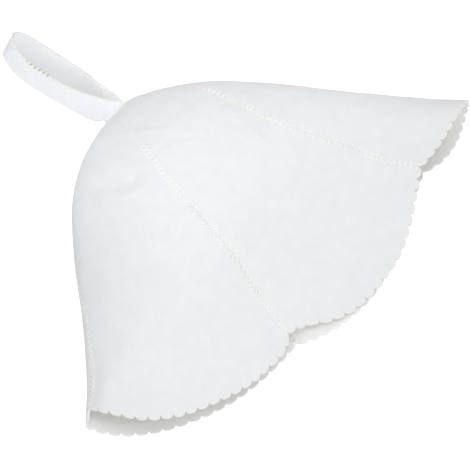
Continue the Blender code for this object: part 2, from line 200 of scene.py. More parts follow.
# %% Cross-sections, as shares of those sizes
SECTION_COLUMNS = ("along", "left", "right", "drop_left", "drop_right", "bow_top", "bow_low",
                   "fold_left", "fold_right", "crest", "belly")
SECTIONS = (
    (0.00, 0.000, 0.000, 0.007, -0.004, 0.002, 0.000, 0.473, 0.473, 0.473, 0.473),
    (0.04, 0.032, 0.032, 0.012, 0.004, 0.014, 0.002, 0.473, 0.473, 0.600, 0.310),
    (0.10, 0.102, 0.107, 0.027, 0.033, 0.031, 0.010, 0.460, 0.473, 0.745, 0.150),
    (0.18, 0.203, 0.207, 0.056, 0.076, 0.063, 0.037, 0.432, 0.473, 0.880, 0.027),
    (0.28, 0.320, 0.322, 0.110, 0.137, 0.102, 0.078, 0.378, 0.473, 0.985, 0.000),
    (0.40, 0.438, 0.442, 0.196, 0.225, 0.133, 0.110, 0.300, 0.460, 1.000, 0.000),
    (0.52, 0.541, 0.560, 0.292, 0.316, 0.161, 0.149, 0.220, 0.432, 0.960, 0.000),
    (0.66, 0.653, 0.693, 0.410, 0.425, 0.188, 0.188, 0.140, 0.392, 0.838, 0.000),
    (0.82, 0.785, 0.850, 0.535, 0.553, 0.231, 0.231, 0.095, 0.340, 0.650, 0.000),
    (1.00, 0.942, 1.052, 0.661, 0.712, 0.259, 0.263, 0.080, 0.255, 0.432, 0.000),
    (1.10, 1.029, 1.152, 0.725, 0.788, 0.278, 0.278, 0.080, 0.230, 0.365, 0.000),
)
TURN_COLUMNS = ("along", "upper_left", "upper_right", "lower_left", "lower_right", "slack")
TURNS = (
    (0.00, 0.50, 0.50, 0.50, 0.50, 0.0),
    (0.18, 0.50, 0.50, 0.50, 0.50, 0.0),
    (0.28, 0.47, 0.48, 0.42, 0.42, 0.0),
    (0.40, 0.42, 0.44, 0.30, 0.34, 0.0),
    (0.52, 0.37, 0.38, 0.22, 0.27, 0.1),
    (0.66, 0.29, 0.30, 0.14, 0.20, 0.3),
    (0.82, 0.12, 0.18, 0.09, 0.12, 0.4),
    (1.00, 0.035, 0.08, 0.06, 0.07, 0.3),
    (1.10, 0.03, 0.07, 0.05, 0.06, 0.3),
)
MOUTH_COLUMNS = ("across", "height", "back")
MOUTH = (
    (0.000, 0.21, 0.000), (0.010, 0.37, 0.022), (0.025, 0.48, 0.032), (0.040, 0.57, 0.034),
    (0.060, 0.61, 0.031), (0.085, 0.65, 0.019), (0.120, 0.65, 0.010), (0.170, 0.57, 0.008),
    (0.220, 0.50, 0.011), (0.290, 0.36, 0.010), (0.345, 0.248, 0.0122), (0.375, 0.283, 0.0083),
    (0.395, 0.332, 0.0162), (0.420, 0.370, 0.0420), (0.450, 0.228, 0.0570), (0.490, 0.168, 0.0394),
    (0.540, 0.136, 0.0238), (0.610, 0.146, 0.0131), (0.700, 0.136, -0.0024), (0.780, 0.241, -0.0007),
    (0.860, 0.555, 0.0113), (0.920, 0.94, 0.013), (0.960, 1.00, 0.009), (1.000, 0.96, 0.000),
)
MOUTH_FROM = 0.55          # share along where the upper felt starts to follow the mouth's line
MOUTH_FULL = 1.05          # share along where it follows it fully
MOUTH_EASES = (0.10, 0.12)  # shares across, left and right, over which it may sag below the folds
BOW_FULLNESS = (2.5, 2.1)  # how square the brim's bulge is on the left and on the right
BOW_LEAN = 0.13            # the brim bulges more on the left
SLOT_SHARE = 0.1           # share along over which the slot's height fades out
SEAM_COLUMNS = ("along", "seam_1", "seam_2", "seam_3", "seam_4", "seam_5")
SEAMS = (
    (0.00, 0.004, 0.215, 0.475, 0.640, 0.826),
    (0.20, -0.008, 0.226, 0.452, 0.616, 0.815),
    (0.40, -0.010, 0.231, 0.428, 0.603, 0.807),
    (0.60, 0.012, 0.227, 0.411, 0.597, 0.801),
    (0.80, 0.017, 0.221, 0.420, 0.593, 0.797),
    (1.00, 0.0135, 0.214, 0.422, 0.592, 0.796),
)
GORES = (
    ("gore_1", "seam_1", "seam_2", 1.00, 0.25, 2.8),
    ("gore_2", "seam_2", "seam_3", 1.25, 0.75, 2.0),
    ("gore_3", "seam_3", "seam_4", 1.00, -0.35, 4.0),
    ("gore_4", "seam_4", "seam_5", 1.00, -1.00, 1.8),
    ("gore_5", "seam_5", "seam_1", 1.00, -0.50, 2.6),
)

# %% Folds and wrinkles, as lines in plan: side, drop, side, drop, width, lift
CREASES = (
    (-0.213, 0.195, -0.115, 0.290, 0.028, 0.026),
    (-0.190, 0.140, -0.100, 0.262, 0.030, -0.030),
    (-0.251, 0.265, -0.211, 0.367, 0.010, -0.010),
    (0.148, 0.290, 0.143, 0.537, 0.026, 0.016),
    (0.143, 0.537, 0.222, 0.970, 0.026, 0.016),
    (0.147, 0.335, 0.154, 0.526, 0.014, 0.022),
    (0.115, 0.341, 0.121, 0.491, 0.008, -0.010),
    (0.121, 0.491, 0.149, 0.619, 0.008, -0.010),
    (0.149, 0.619, 0.189, 0.768, 0.008, -0.008),
    (0.189, 0.768, 0.217, 0.979, 0.007, -0.014),
    (0.182, 0.621, 0.180, 0.711, 0.008, -0.008),
    (0.240, 0.734, 0.257, 0.906, 0.008, -0.010),
    (-0.030, 0.123, 0.031, 0.217, 0.010, 0.010),
    (-0.044, 0.242, 0.015, 0.243, 0.009, -0.010),
    (0.022, 0.242, 0.066, 0.314, 0.009, -0.008),
)
# Where the lower felt bulges up into the mouth
SWELLS = (
    (-0.085, 0.895, -0.030, 0.905, 0.030, 0.060),
    (-0.030, 0.905, 0.005, 0.935, 0.030, 0.025),
)
print("cross-sections:", len(SECTIONS), "folds and wrinkles:", len(CREASES) + len(SWELLS))


# %% Curves through a table
def table(columns, rows):
    """A table's columns as arrays, by name."""
    return {name: np.array(values, dtype=float) for name, values in zip(columns, zip(*rows))}


def curve(xs, ys, x):
    """A smooth curve through a table's points, read at x."""
    x = np.clip(x, xs[0], xs[-1])
    steps = np.diff(xs)
    slopes = np.diff(ys) / steps
    tangents = np.empty_like(ys)
    tangents[0] = slopes[0]
    tangents[-1] = slopes[-1]
    tangents[1:-1] = (slopes[:-1] * steps[1:] + slopes[1:] * steps[:-1]) / (steps[1:] + steps[:-1])
    i = np.clip(np.searchsorted(xs, x, side="right") - 1, 0, len(xs) - 2)
    t = (x - xs[i]) / steps[i]
    start = (1 + 2 * t) * (1 - t) ** 2 * ys[i] + t * (1 - t) ** 2 * steps[i] * tangents[i]
    end = t * t * (3 - 2 * t) * ys[i + 1] - t * t * (1 - t) * steps[i] * tangents[i + 1]
    return start + end


def quarter(share):
    """Rise of a quarter circle, 0 to 1."""
    share = np.clip(share, 0, 1)
    return np.sqrt(1 - (1 - share) ** 2)


def ease(share):
    """A smooth step from 0 to 1."""
    share = np.clip(share, 0, 1)
    return share * share * (3 - 2 * share)


SECTION = table(SECTION_COLUMNS, SECTIONS)
TURN = table(TURN_COLUMNS, TURNS)
MOUTH_LINE = table(MOUTH_COLUMNS, MOUTH)
SEAM_LINE = table(SEAM_COLUMNS, SEAMS)

# %% [markdown]
# ## Rings round the hat
#
# Each cross-section is computed as a ring of points: the upper felt from the left
# fold to the right, then the lower felt back. The rings are spaced evenly down
# the hat, and each is read again at even shares of its own length. So a gore that
# takes a fifth of the way round at the crown takes a fifth at the brim too.

# %% Places across a ring, and the mouth's line there
ACROSS_POINTS = 400     # closer together near the folds
ACROSS = (1 - np.cos(np.linspace(0, math.pi, ACROSS_POINTS))) / 2
MOUTH_RISE = curve(MOUTH_LINE["across"], MOUTH_LINE["height"], ACROSS) * MOUTH_HEIGHT
MOUTH_BACK = curve(MOUTH_LINE["across"], MOUTH_LINE["back"], ACROSS) * SEAM_LENGTH


def line_lift(lines, x, y):
    """Height that folds along lines in plan add at places counted from the slot."""
    ridge, valley = np.zeros_like(x), np.zeros_like(x)
    for from_side, from_drop, to_side, to_drop, width, height in lines:
        start = np.array((from_side * BRIM_WIDTH, -from_drop * SEAM_LENGTH))
        run = np.array((to_side * BRIM_WIDTH, -to_drop * SEAM_LENGTH)) - start
        share = np.clip(((x - start[0]) * run[0] + (y - start[1]) * run[1]) / run.dot(run), 0, 1)
        distance = np.hypot(x - start[0] - share * run[0], y - start[1] - share * run[1])
        lift = height * CROWN_HEIGHT * np.exp(-((distance / (width * SEAM_LENGTH)) ** 2))
        ridge, valley = np.maximum(ridge, lift), np.minimum(valley, lift)
    return ridge + valley


# %% One ring, from above
def section_row(along):
    """The tables' values at a share along."""
    return {name: float(curve(columns["along"], columns[name], along))
            for columns in (SECTION, TURN) for name in columns}


def section_plan(row, upper):
    """Places of the upper or lower felt from above, left fold to right fold, and its width."""
    left = SLOT_HALF_WIDTH + row["left"] * SIDE_SPREAD
    width = left + SLOT_HALF_WIDTH + row["right"] * SIDE_SPREAD
    fullness = np.where(ACROSS < 0.5, *BOW_FULLNESS)
    bulge = (1 - np.abs(2 * ACROSS - 1) ** fullness) * (1 + BOW_LEAN * (1 - 2 * ACROSS))
    bow = row["bow_top"] if upper else row["bow_low"]
    drop = row["drop_left"] + ACROSS * (row["drop_right"] - row["drop_left"]) + bow * bulge
    return ACROSS * width - left, -SEAM_LENGTH * drop, width


# %% One ring, with its height
SMALLEST_LIP = 0.000001  # metres, so that nothing is divided by zero


def half_section(along, upper):
    """The upper or lower felt's outer face across the hat, left fold to right fold."""
    row = section_row(along)
    x, y, width = section_plan(row, upper)
    slot = SLOT_HALF_HEIGHT * max(0.0, 1 - along / SLOT_SHARE) ** 2
    fold = (row["fold_left"] + (row["fold_right"] - row["fold_left"]) * ACROSS) * CROWN_HEIGHT
    if upper:
        follow = float(ease((along - MOUTH_FROM) / (MOUTH_FULL - MOUTH_FROM)))
        height = row["crest"] * CROWN_HEIGHT * (1 - follow) + MOUTH_RISE * follow - fold + slot
        y = y + MOUTH_BACK * follow
    else:
        height = fold - max(0.0, row["belly"]) * CROWN_HEIGHT + slot
    side = "upper" if upper else "lower"
    left_turn = quarter(ACROSS / row[side + "_left"]) ** (1 + row["slack"])
    right_turn = quarter((1 - ACROSS) / row[side + "_right"])
    lip = np.clip(height, SMALLEST_LIP, FOLD_RADIUS)
    lips = quarter(ACROSS * width / lip) * quarter((1 - ACROSS) * width / lip)
    reach = lip * lips + np.maximum(height - lip, 0) * left_turn * right_turn
    if not upper:
        return np.stack([x, y, fold - reach + line_lift(SWELLS, x, y)], axis=-1)
    sag = np.minimum(height, 0) * ease(ACROSS / MOUTH_EASES[0])
    sag *= ease((1 - ACROSS) / MOUTH_EASES[1])
    z = fold + reach + sag + line_lift(CREASES, x, y) * left_turn * right_turn
    return np.stack([x, y, z], axis=-1)


print("width at the brim in mm:", round(1000 * float(np.ptp(half_section(1.0, True)[:, 0]))))


# %% All rings, their lengths and the directions out of the felt
RING_STEP = 0.002       # share along from one ring to the next
AROUND_STEPS = 2400     # places read on each ring
RINGS = 570
NORMAL_REACH = 3        # rings and places on each side that a direction is read from
SLOT_TURN = 0.05        # share along over which the felt turns to face out of the slot


def way_along(line):
    """Distance from a line's first point to each of its points."""
    return np.concatenate([[0.0], np.cumsum(np.linalg.norm(np.diff(line, axis=0), axis=1))])


def all_rings():
    """Points of every ring at even shares of the way round, and the rings' lengths."""
    shares = np.linspace(0, 1, AROUND_STEPS + 1)
    points = np.empty((RINGS, AROUND_STEPS + 1, 3))
    girths = np.empty(RINGS)
    for i in range(RINGS):
        upper, lower = half_section(i * RING_STEP, True), half_section(i * RING_STEP, False)
        ring = np.concatenate([upper, lower[::-1][1:]])
        way = way_along(ring)
        girths[i] = way[-1]
        for axis in range(3):
            points[i, :, axis] = np.interp(shares, way / way[-1], ring[:, axis])
    points += (SLOT_SIDE, SLOT_AHEAD, 0.0)
    return points, girths


def all_normals(points):
    """Unit vectors out of the felt. At the slot they point straight out of it."""
    down = np.empty_like(points)
    n = NORMAL_REACH
    down[n:-n] = points[2 * n:] - points[:-2 * n]
    down[:n] = points[n:2 * n] - points[:1]
    down[-n:] = down[-n - 1]
    wide = np.concatenate([points[:, -n - 1:-1], points, points[:, 1:n + 1]], axis=1)
    out = np.cross(down, wide[:, 2 * n:] - wide[:, :-2 * n])
    out /= np.linalg.norm(out, axis=-1, keepdims=True)
    share = ease(np.arange(RINGS) * RING_STEP / SLOT_TURN)[:, None, None]
    out = out * share + np.array((0.0, 1.0, 0.0)) * (1 - share)
    return out / np.linalg.norm(out, axis=-1, keepdims=True)


ring_points, girths = all_rings()
ring_normals = all_normals(ring_points)
print("way round in mm, crown to brim:", [round(1000 * girths[i]) for i in range(0, 501, 100)])


# %% Reading the surface at any place
HEAD_DOWN = 0.146       # metres from the crown slot to where the head sits


def read_rings(grid, along, around):
    """The value of a grid of rings at places along and around."""
    row = np.clip(along / RING_STEP, 0, RINGS - 1.001)      # ends just short of the last ring
    column = (around % 1.0) * AROUND_STEPS
    i, j = row.astype(int), np.minimum(column.astype(int), AROUND_STEPS - 1)
    u, v = (row - i)[..., None], (column - j)[..., None]
    near = grid[i, j] * (1 - v) + grid[i, j + 1] * v
    far = grid[i + 1, j] * (1 - v) + grid[i + 1, j + 1] * v
    return near * (1 - u) + far * u


def girth(along):
    """Length of the way round at a share along."""
    return np.interp(along / RING_STEP, np.arange(RINGS), girths)


def seam_place(along, seam):
    """The share of the way round at which a seam lies."""
    return curve(SEAM_LINE["along"], SEAM_LINE[seam], along)


def brim_line(t, reach, lean, fullness):
    """Share along of a gore's lobed edge at t, 0 to 1 across the gore."""
    lobe = (1 - np.abs(2 * t - 1) ** fullness) * (1 + lean * (1 - 2 * t))
    return 1 + lobe * reach * LOBE_REACH / SEAM_LENGTH


print("way round where the head sits, in mm:", round(1000 * float(girth(HEAD_DOWN / SEAM_LENGTH))))

# %% [markdown]
# ## Felt
#
# Wool felt is a thick mat of fibres with no weave, matt, with no highlight. Broad
# clouds show where the mat is a little thicker. Short fibres on its face catch the
# light from the side, which the shader's sheen gives. A weave texture would be
# wrong, so three noises of different sizes make the mat.
#
# Three finishes follow the cut of the piece, so they read a map of it in
# millimetres. The seam map holds the distance from the nearest seam and the distance
# down it, and places a small dimple with a faint painted shade at each needle hole.
# The brim map holds the distance from the brim's cut edge, where the felt gets a
# warmer band outside and painted light inside, and says which face is the inner one,
# which gets a warmer painted shade. The strap's map does the same for its edge,
# which gets an olive painted shade, and says which face gets painted light. It also
# places painted shade in the gaps between the loose stitches.

# %% Sizes of the stitching, in millimetres
STITCH = 4.4            # from one stitch to the next
STITCH_BAND = 7.4       # across the lattice
OVERLOCK = 4.6          # from one stitch to the next along the strap
LOOSE_MIDDLE = 97.0     # along the strap to the middle of its loose stitches
LOOSE_HALF = 13.5       # half the length of that stretch
print("stitches on 100 mm of a seam:", round(100 / STITCH))

# %% Sizes of the felt's pattern, in millimetres
CLOUD = 1000 / 95       # 10.5: thicker and thinner places in the mat
TUFT = 1000 / 210       # 4.8: tufts that the felting needles raise
FIBRE = 1000 / 750      # 1.3: tangles of fibre, far coarser than the real ones so that they show
HOLE = (0.25, 0.90)     # from a needle hole's middle: its full depth, and its end
RIM = (3.4, 11.0)       # band at the brim, on the outer and the inner face: warmer outside, painted light inside
OLIVE = (0.2, 0.9)      # from the strap's edge: the olive painted shade's full strength, and its end
FADE = (125.0, 155.0)   # along the strap, where the olive painted shade fades, as the far strand's edge turns to the light
GAP = (0.25, 0.80)      # from a gap's middle: its full painted shade, and its end
GAP_IN = 0.5            # from the strap's edge to a gap's middle


# %% The mat
def felt_colour(tree, place, light, shade):
    """Broad clouds between two near whites."""
    clouds = add_node(tree, "TexNoise",
                      {"Scale": 1000 / CLOUD, "Detail": 3.0, "Roughness": 0.55}, {"Vector": place})
    tint = add_node(tree, "MapRange", {"From Min": 0.35, "From Max": 0.65},
                    {"Value": clouds.outputs["Fac"]})
    mix = add_node(tree, "Mix", {6: colour(shade), 7: colour(light)},
                   {0: tint.outputs["Result"]}, data_type="RGBA")
    return mix.outputs[2]


def felt_relief(tree, place):
    """Tangled fibres and tufts, as bump."""
    fibres = add_node(tree, "TexNoise",
                      {"Scale": 1000 / FIBRE, "Detail": 4.0, "Roughness": 0.7}, {"Vector": place})
    tufts = add_node(tree, "TexNoise",
                     {"Scale": 1000 / TUFT, "Detail": 2.0, "Roughness": 0.5}, {"Vector": place})
    fine = add_node(tree, "Bump", {"Strength": 0.7, "Distance": 0.00022},
                    {"Height": fibres.outputs["Fac"]})
    broad = add_node(tree, "Bump", {"Strength": 0.7, "Distance": 0.0006},
                     {"Height": tufts.outputs["Fac"], "Normal": fine.outputs["Normal"]})
    return broad.outputs["Normal"]


def read_map(tree, name):
    """The two numbers of a piece's map, as outputs X and Y."""
    pattern = add_node(tree, "UVMap", uv_map=name)
    return add_node(tree, "SeparateXYZ", links={"Vector": pattern.outputs["UV"]}).outputs


def dots(tree, along, across, pitch, line, size):
    """Round dots in a row, as a share from 0 to 1. Pitch, line and size are in millimetres."""
    step = add_node(tree, "Math", {1: pitch / 2}, {0: along}, operation="PINGPONG")
    off = add_node(tree, "Math", {1: line}, {0: across}, operation="SUBTRACT")
    reach = add_node(tree, "CombineXYZ", links={"X": off.outputs[0], "Y": step.outputs[0]})
    distance = add_node(tree, "VectorMath", links={0: reach.outputs[0]}, operation="LENGTH")
    dot = add_node(tree, "MapRange",
                   {"From Min": size[0], "From Max": size[1], "To Min": 1.0, "To Max": 0.0},
                   {"Value": distance.outputs["Value"]}, interpolation_type="SMOOTHSTEP")
    return dot.outputs["Result"]


# %% Finishes of a gore
def inside_shade_and_brim_light(tree, base):
    """Painted shade: the gore's inner face tinted warmer. At the brim a band, warmer on the outer
    face and painted light on the inner face.
    """
    brim = read_map(tree, "brim_mm")
    # Painted shade: the inner face is tinted a warmer grey, for the shade inside the hat.
    inside_shade = add_node(tree, "Mix", {7: colour("#F0F0EC")}, {0: brim["Y"], 6: base},
                      data_type="RGBA")
    # The brim band: warmer on the outer face, and painted light on the inner face, which lifts the
    # shade under the upper felt's edge.
    width = add_node(tree, "MapRange", {"To Min": RIM[0], "To Max": RIM[1]},
                     {"Value": brim["Y"]})
    share = add_node(tree, "Math", links={0: brim["X"], 1: width.outputs["Result"]},
                     operation="DIVIDE")
    band_share = add_node(tree, "MapRange",
                     {"From Min": 0.6, "From Max": 1.0, "To Min": 0.7, "To Max": 0.0},
                     {"Value": share.outputs[0]}, interpolation_type="SMOOTHSTEP")
    brim_band_and_light = add_node(tree, "Mix", {6: colour("#F0F1EC"), 7: colour("#FCFDFD")}, {0: brim["Y"]},
                   data_type="RGBA")
    mix = add_node(tree, "Mix",
                   links={0: band_share.outputs["Result"], 6: inside_shade.outputs[2], 7: brim_band_and_light.outputs[2]},
                   data_type="RGBA")
    return mix.outputs[2]


def needle_holes(tree, base, normal):
    """A small dimple at each end of each stitch, with a faint grey painted shade in it."""
    seam = read_map(tree, "seam_mm")
    hole = dots(tree, seam["Y"], seam["X"], STITCH, STITCH_BAND / 2, HOLE)
    # Painted shade: a faint grey in each needle hole, where shade falls.
    hole_shade = add_node(tree, "Math", {1: 0.03}, {0: hole}, operation="MULTIPLY")
    mix = add_node(tree, "Mix", {7: colour("#8E8B84")}, {0: hole_shade.outputs[0], 6: base},
                   data_type="RGBA")
    dimple = add_node(tree, "Bump", {"Strength": 0.4, "Distance": 0.0002},
                      {"Height": hole, "Normal": normal}, invert=True)
    return mix.outputs[2], dimple.outputs["Normal"]


# %% Finishes of the strap
def strap_light_and_edge_shade(tree, base):
    """Painted light on the strap's inner face, and an olive painted shade along its cut edge, which
    fades along the far strand where the edge turns to the light.
    """
    side, place = read_map(tree, "strap_side"), read_map(tree, "strap_mm")
    # Painted light: the strap's inner face is painted paler, against the shade where the strands
    # overlap.
    inside = add_node(tree, "Mix", {7: colour("#FBFCFE")}, {0: side["X"], 6: base},
                      data_type="RGBA")
    # Painted shade: an olive tint along the cut edge, faded along the far strand where the edge
    # turns to the light.
    edge = add_node(tree, "MapRange",
                    {"From Min": OLIVE[0], "From Max": OLIVE[1], "To Min": 0.35, "To Max": 0.0},
                    {"Value": place["Y"]}, interpolation_type="SMOOTHSTEP")
    fading = add_node(tree, "MapRange",
                      {"From Min": FADE[0], "From Max": FADE[1], "To Min": 1.0, "To Max": 0.2},
                      {"Value": place["X"]}, interpolation_type="SMOOTHSTEP")
    olive_edge_shade = add_node(tree, "Math", operation="MULTIPLY",
                     links={0: edge.outputs["Result"], 1: fading.outputs["Result"]})
    mix = add_node(tree, "Mix", {7: colour("#E8EADD")},
                   {0: olive_edge_shade.outputs[0], 6: inside.outputs[2]}, data_type="RGBA")
    return mix.outputs[2]


def loose_gap_shade(tree, base):
    """Painted shade: dark dots in the gaps between the loose stitches of the strap's edge."""
    place = read_map(tree, "strap_mm")
    dot = dots(tree, place["X"], place["Y"], OVERLOCK, GAP_IN, GAP)
    loose = add_node(tree, "Math", {1: LOOSE_MIDDLE, 2: LOOSE_HALF}, {0: place["X"]},
                     operation="COMPARE")
    gap = add_node(tree, "Math", links={0: dot, 1: loose.outputs[0]}, operation="MULTIPLY")
    # Painted shade: the dark grey in each gap, where the far strand lies in shade.
    mix = add_node(tree, "Mix", {7: colour("#55554F")}, {0: gap.outputs[0], 6: base},
                   data_type="RGBA")
    return mix.outputs[2]


# %% Felt material
def felt_material(name, light, shade, sewn):
    """Needled and bleached wool felt: matt and soft, for the sewn gores or for the strap."""
    material, tree, shader = new_material(name, {
        "Roughness": 0.95, "Specular IOR Level": 0.2, "Sheen Weight": 0.25, "Sheen Roughness": 0.6})
    place = add_node(tree, "TexCoord").outputs["Object"]
    base = felt_colour(tree, place, light, shade)
    normal = felt_relief(tree, place)
    if sewn:
        base, normal = needle_holes(tree, inside_shade_and_brim_light(tree, base), normal)
    else:
        base = loose_gap_shade(tree, strap_light_and_edge_shade(tree, base))
    tree.links.new(base, shader.inputs["Base Color"])
    tree.links.new(normal, shader.inputs["Normal"])
    print(material.name, "nodes:", len(tree.nodes))
    return material


gore_felt = felt_material("bleached wool felt", "#F0F1F3", "#EDEEF0", True)
# The strap's felt is a paler copy of the gores' felt: painted light that brightens the strap.
strap_felt_painted_paler = felt_material("bleached wool felt, strap", "#F8F9FD", "#F5F6FA", False)

# %% [markdown]
# ## Thread
#
# Sewing thread of spun polyester has a matt, slightly hairy surface, unlike a shiny
# filament thread. The gores are sewn with a white thread that is a little warmer
# than the felt, and the strap's edge with an unbleached one. Round tubes give the
# thread's shape, and a fine noise stands for its twist.

# %% Thread material
TWIST = 1000 / 1400     # 0.7 mm from one turn of the twist to the next, coarser than the real one


def thread_material(name, tint):
    """Spun polyester thread: matt, a little warmer than the felt."""
    material, tree, shader = new_material(name, {
        "Base Color": colour(tint), "Roughness": 0.6, "Sheen Weight": 0.2})
    place = add_node(tree, "TexCoord").outputs["Object"]
    twist = add_node(tree, "TexNoise", {"Scale": 1000 / TWIST, "Detail": 1.0},
                     {"Vector": place})
    bump = add_node(tree, "Bump", {"Strength": 0.5, "Distance": 0.0001},
                    {"Height": twist.outputs["Fac"]})
    tree.links.new(bump.outputs["Normal"], shader.inputs["Normal"])
    return material


cream_thread = thread_material("cream spun polyester thread", "#FEFEFB")
overlock_thread = thread_material("unbleached spun polyester thread", "#F5F5EC")
print("threads:", cream_thread.name, "and", overlock_thread.name)

# %% [markdown]
# ## A gore
#
# A gore is cut flat, so it starts as a flat grid: across the gore in one
# direction, down it in the other. Columns fall on the notches between scallops.
# The grid is extruded once for the felt's second face. Then each point is moved to
# its place on the lying hat. The rows and columns next to the edges are close
# together, which rounds the cut edges as soft felt is rounded.

# %% Grid lines of a gore, as shares across and down
COLUMNS_PER_SCALLOP = 10
EDGE_COLUMNS = np.array((0.0, 0.15, 0.45))          # shares of a column, beside a seam
EDGE_ROWS = np.array((3.2, 1.8, 0.9, 0.45, 0.15))   # mm in from the brim
SLOT_ROWS = (0.0, 0.0006, 0.002)                    # shares of the way down, at the slot
PLAIN_ROWS = np.linspace(0.006, 0.978, 140)         # and from there to the brim

last_column = SCALLOPS * COLUMNS_PER_SCALLOP
inner_columns = np.arange(1, last_column)
columns = np.concatenate([EDGE_COLUMNS, inner_columns, last_column - EDGE_COLUMNS[::-1]])
across_lines = columns / last_column
down_lines = np.concatenate([SLOT_ROWS, PLAIN_ROWS, 1 - EDGE_ROWS / (1000 * SEAM_LENGTH), [1.0]])
print("grid of a gore:", len(across_lines), "by", len(down_lines))


# %% The felt's own unevenness
WAVES = ((0.045, 1, 0.0005), (0.018, 2, 0.0002))    # size in metres, seed, height in metres
SEED_SHIFT = (7.3, 3.1, 5.7)                        # moves each wave to another part of the noise


def unevenness(points, size, seed):
    """A soft random height at each point, about -1 to 1, with bumps of a given size in metres."""
    shift = Vector([seed * step for step in SEED_SHIFT])
    return np.array([noise.noise(Vector(point) / size + shift) for point in points]) * 2


def edge_round(distance, radius):
    """How far a rounded edge lies below the face, at a distance from the cut."""
    inside = np.clip(radius - distance, 0, radius)
    return radius - np.sqrt(radius ** 2 - inside ** 2)


# %% A flat gore
def gore_sheet(name):
    """A flat grid with a second face above it, joined at the edges."""
    bm = bmesh.new()
    segments = {"x_segments": len(across_lines) - 1, "y_segments": len(down_lines) - 1}
    bmesh.ops.create_grid(bm, size=0.5, **segments)
    extruded = bmesh.ops.extrude_face_region(bm, geom=bm.faces[:], use_keep_orig=True)["geom"]
    back = [item for item in extruded if isinstance(item, bmesh.types.BMVert)]
    bmesh.ops.translate(bm, verts=back, vec=(0, 0, 1))
    bmesh.ops.recalc_face_normals(bm, faces=bm.faces[:])
    return mesh_from(bm, name)


def sheet_places(mesh):
    """Each point's share across and down the gore, and whether it is on the inner face."""
    flat = np.empty(len(mesh.vertices) * 3)
    mesh.vertices.foreach_get("co", flat)
    flat = flat.reshape(-1, 3)
    column = np.rint((flat[:, 0] + 0.5) * (len(across_lines) - 1)).astype(int)
    row = np.rint((flat[:, 1] + 0.5) * (len(down_lines) - 1)).astype(int)
    return across_lines[column], down_lines[row], flat[:, 2] > 0.5


# %% Its place on the hat
SCALLOPS_FROM = 0.96    # share down a gore where the rows start to follow the scallops


def hat_places(t, q, first_seam, last_seam, lobe):
    """Places along and around the hat for shares t across and q down, and the gore's width."""
    phase = (t * SCALLOPS) % 1.0
    scallop = SCALLOP_DEPTH / SEAM_LENGTH * np.sqrt(np.maximum(0.0, 4 * phase * (1 - phase)))
    along = q * brim_line(t, *lobe) + scallop * ease((q - SCALLOPS_FROM) / (1 - SCALLOPS_FROM))
    gap = SEAM_GAP / 2 / girth(along)
    first, last = seam_place(along, first_seam) + gap, seam_place(along, last_seam) - gap
    last = last + (last < first)
    return along, first + t * (last - first), (last - first) * girth(along)


# %% Its two faces
EDGE_RADII = {"seam": 0.0001, "brim": 0.0009, "slot": 0.0006}
SEAM_DIP = 0.00005          # how far the stitches pull the felt in
DIP_FROM = (0.004, 0.010)   # from the slot to where the dip starts, and the way over which it grows
WAVES_FROM = (0.006, 0.030)  # the same for the unevenness


def felt_heights(points, inner, to_seam, to_brim, to_slot):
    """How far out of the hat's smooth surface each point of the felt lies."""
    sewn = np.exp(-((to_seam * 1000 / (0.5 * STITCH_BAND)) ** 4))
    sewn *= ease((to_slot - DIP_FROM[0]) / DIP_FROM[1])
    below = edge_round(to_seam, EDGE_RADII["seam"]) + edge_round(to_brim, EDGE_RADII["brim"])
    below += edge_round(to_slot, EDGE_RADII["slot"]) + SEAM_DIP * sewn
    wave = sum(unevenness(points, size, seed) * height for size, seed, height in WAVES)
    wave *= ease((to_slot - WAVES_FROM[0]) / WAVES_FROM[1])
    return np.where(inner, wave - FELT + below, wave - below)


def write_map(mesh, name, first, second):
    """A UV map that carries two numbers of each point to the material."""
    corners = np.empty(len(mesh.loops), dtype=int)
    mesh.loops.foreach_get("vertex_index", corners)
    pairs = np.stack([first, second], axis=-1)[corners]
    mesh.uv_layers.new(name=name).data.foreach_set("uv", pairs.ravel())


def face_outwards(mesh):
    """Turn the faces of a closed shell round if they point inwards."""
    bm = bmesh.new()
    bm.from_mesh(mesh)
    if bm.calc_volume(signed=True) < 0:
        bmesh.ops.reverse_faces(bm, faces=bm.faces[:])
    bm.to_mesh(mesh)
    bm.free()


# %% Making a gore
def gore_piece(name, first_seam, last_seam, *lobe):
    """One gore of felt, bent to the hat, with scallops and rounded edges."""
    mesh = gore_sheet(name)
    t, q, inner = sheet_places(mesh)
    along, around, width = hat_places(t, q, first_seam, last_seam, lobe)
    points = read_rings(ring_points, along, around)
    to_seam = np.minimum(t, 1 - t) * width
    heights = felt_heights(points, inner, to_seam, (1 - q) * SEAM_LENGTH, along * SEAM_LENGTH)
    placed = points + read_rings(ring_normals, along, around) * heights[:, None]
    placed[:, 2] = np.maximum(placed[:, 2], 0.0)
    mesh.vertices.foreach_set("co", placed.ravel())
    write_map(mesh, "seam_mm", to_seam * 1000, along * SEAM_LENGTH * 1000)
    write_map(mesh, "brim_mm", (1 - q) * brim_line(t, *lobe) * SEAM_LENGTH * 1000, inner * 1.0)
    face_outwards(mesh)
    piece = new_object(name + "_felt", mesh, gore_felt)
    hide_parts(name)
    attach(piece, "root")
    return piece


gore_pieces = [gore_piece(*gore) for gore in GORES]
print("gores:", {piece.name: len(piece.data.polygons) for piece in gore_pieces})

# %% [markdown]
# ## Lattice stitches
#
# The gores meet edge to edge, held by two zigzag threads that cross each other
# over the seam. Each stitch is a short arch of thread that dives into the felt at
# both ends. All stitches of a seam are splines of one curve, because a curve with
# a bevel is the quickest way to a round thread. The curve is then made a mesh.

# %% A thread from runs of points
THREAD_RADIUS = 0.00036


